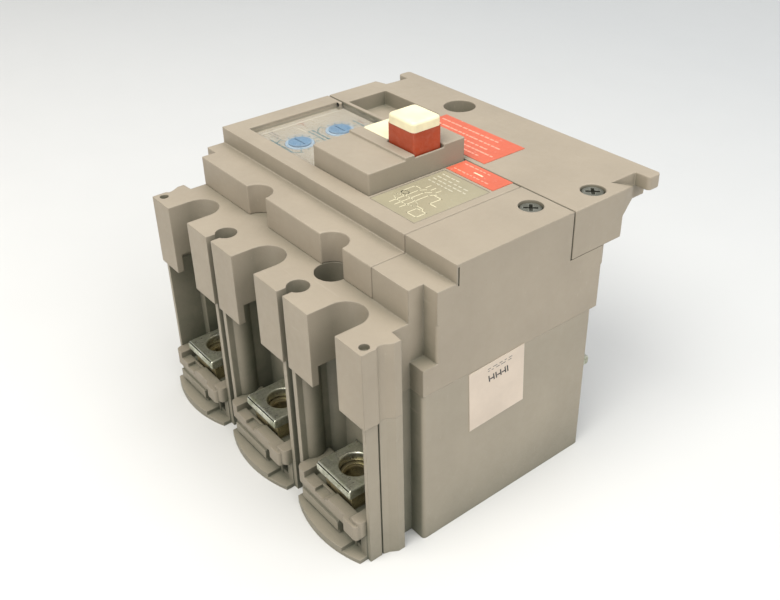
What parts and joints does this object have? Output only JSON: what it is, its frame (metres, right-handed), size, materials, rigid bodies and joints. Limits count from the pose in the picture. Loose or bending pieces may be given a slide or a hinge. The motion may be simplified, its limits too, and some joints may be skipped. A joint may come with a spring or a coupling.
{
  "type": "earth leakage module",
  "caption": "Terraced plastic module that adds earth-leakage tripping to a three-pole breaker, with screw terminals, setting dials, a test button and a pop-up reset button.",
  "frame": {"origin": "centre of the box's bottom face, on the mounting plane", "axes": "+X along the row of poles, +Y from the cable terminals to the breaker, +Z out of the mounting plane"},
  "size_m": [0.1052, 0.1031, 0.0951],
  "materials": {
    "case_plastic": "fine-grained warm grey-beige moulding",
    "cage_plastic": "matt grey-beige moulding",
    "panel_print": "printed plate",
    "clear_plastic": "clear, lightly scuffed",
    "dial_blue": "satin blue",
    "label_khaki": "printed film",
    "label_coral": "printed film",
    "label_cream": "aged paper sticker",
    "button_red": "satin red",
    "button_cream": "satin cream",
    "spring_steel": "bare wire",
    "screw_steel": "dark zinc",
    "plated_copper": "tin plated, slightly tarnished",
    "brass_nut": "turned",
    "core_iron": "tape-wound core, taped",
    "coil_copper": "enamelled wire",
    "board_green": "circuit board",
    "component_dark": "moulded component",
    "frame_black": "glass-filled moulding",
    "lever_white": "acetal"
  },
  "bodies": {
    "module": {"base_housing": "case_plastic", "upper_housing": "case_plastic", "front_cover": "case_plastic", "far_cover": "case_plastic", "button_surround": "case_plastic", "dial_panel": "panel_print", "diagram_label": "label_khaki", "warning_label_small": "label_coral", "warning_label_large": "label_coral", "side_label": "label_cream", "reset_spring": "spring_steel", "test_spring": "spring_steel", "strip_screw": "screw_steel", "far_cover_screw": "screw_steel", "case_screws": "screw_steel", "connection_screws": "screw_steel", "toroid_core": "core_iron", "toroid_winding": "coil_copper", "circuit_board": "board_green", "board_components": "component_dark", "rotary_switches": "component_dark", "mechanism_frame": "frame_black", "trip_relay": "component_dark", "lever_pin": "spring_steel", "busbar_1": "plated_copper", "terminal_nut_1": "brass_nut", "terminal_cage_1": "cage_plastic", "busbar_2": "plated_copper", "terminal_nut_2": "brass_nut", "terminal_cage_2": "cage_plastic", "busbar_3": "plated_copper", "terminal_nut_3": "brass_nut", "terminal_cage_3": "cage_plastic"},
    "reset_button": {"reset_button": "button_red", "reset_cap": "button_cream"},
    "test_button": {"test_button": "button_cream"},
    "dial_sensitivity": {"dial_sensitivity": "dial_blue"},
    "dial_delay": {"dial_delay": "dial_blue"},
    "settings_window": {"settings_window": "clear_plastic"},
    "trip_lever": {"trip_lever": "lever_white"},
    "relay_plunger": {"relay_plunger": "spring_steel"}
  },
  "joints": [
    {"name": "reset_press", "type": "slide", "parent": "module", "child": "reset_button", "axis": [0, 0, 1], "range_m": [-0.0078, 0], "stiffness_N_per_m": 250, "springref_m": 0.004, "deforming": ["reset_spring"]},
    {"name": "test_press", "type": "slide", "parent": "module", "child": "test_button", "axis": [0, 0, 1], "range_m": [-0.0015, 0], "stiffness_N_per_m": 400, "springref_m": 0.002, "deforming": ["test_spring"]},
    {"name": "sensitivity_turn", "type": "hinge", "parent": "module", "child": "dial_sensitivity", "pos_m": [-0.0307, -0.00765, 0.078], "axis": [0, 0, 1], "range_deg": [-120, 120]},
    {"name": "delay_turn", "type": "hinge", "parent": "module", "child": "dial_delay", "pos_m": [-0.0307, 0.00675, 0.078], "axis": [0, 0, 1], "range_deg": [-120, 120]},
    {"name": "window_open", "type": "hinge", "parent": "module", "child": "settings_window", "pos_m": [-0.0452, 0.00305, 0.0792], "axis": [0, -1, 0], "range_deg": [0, 100]},
    {"name": "lever_turn", "type": "hinge", "parent": "module", "child": "trip_lever", "pos_m": [0.013, 0.02305, 0.05], "axis": [1, 0, 0], "range_deg": [0, 12]},
    {"name": "plunger_slide", "type": "slide", "parent": "module", "child": "relay_plunger", "axis": [0, 1, 0], "range_m": [-0.002, 0]}
  ],
  "couplings": [
    {"joint": "lever_turn", "follows": "reset_press", "rad_per_m": -26.8},
    {"joint": "plunger_slide", "follows": "reset_press", "ratio": 0.25}
  ]
}
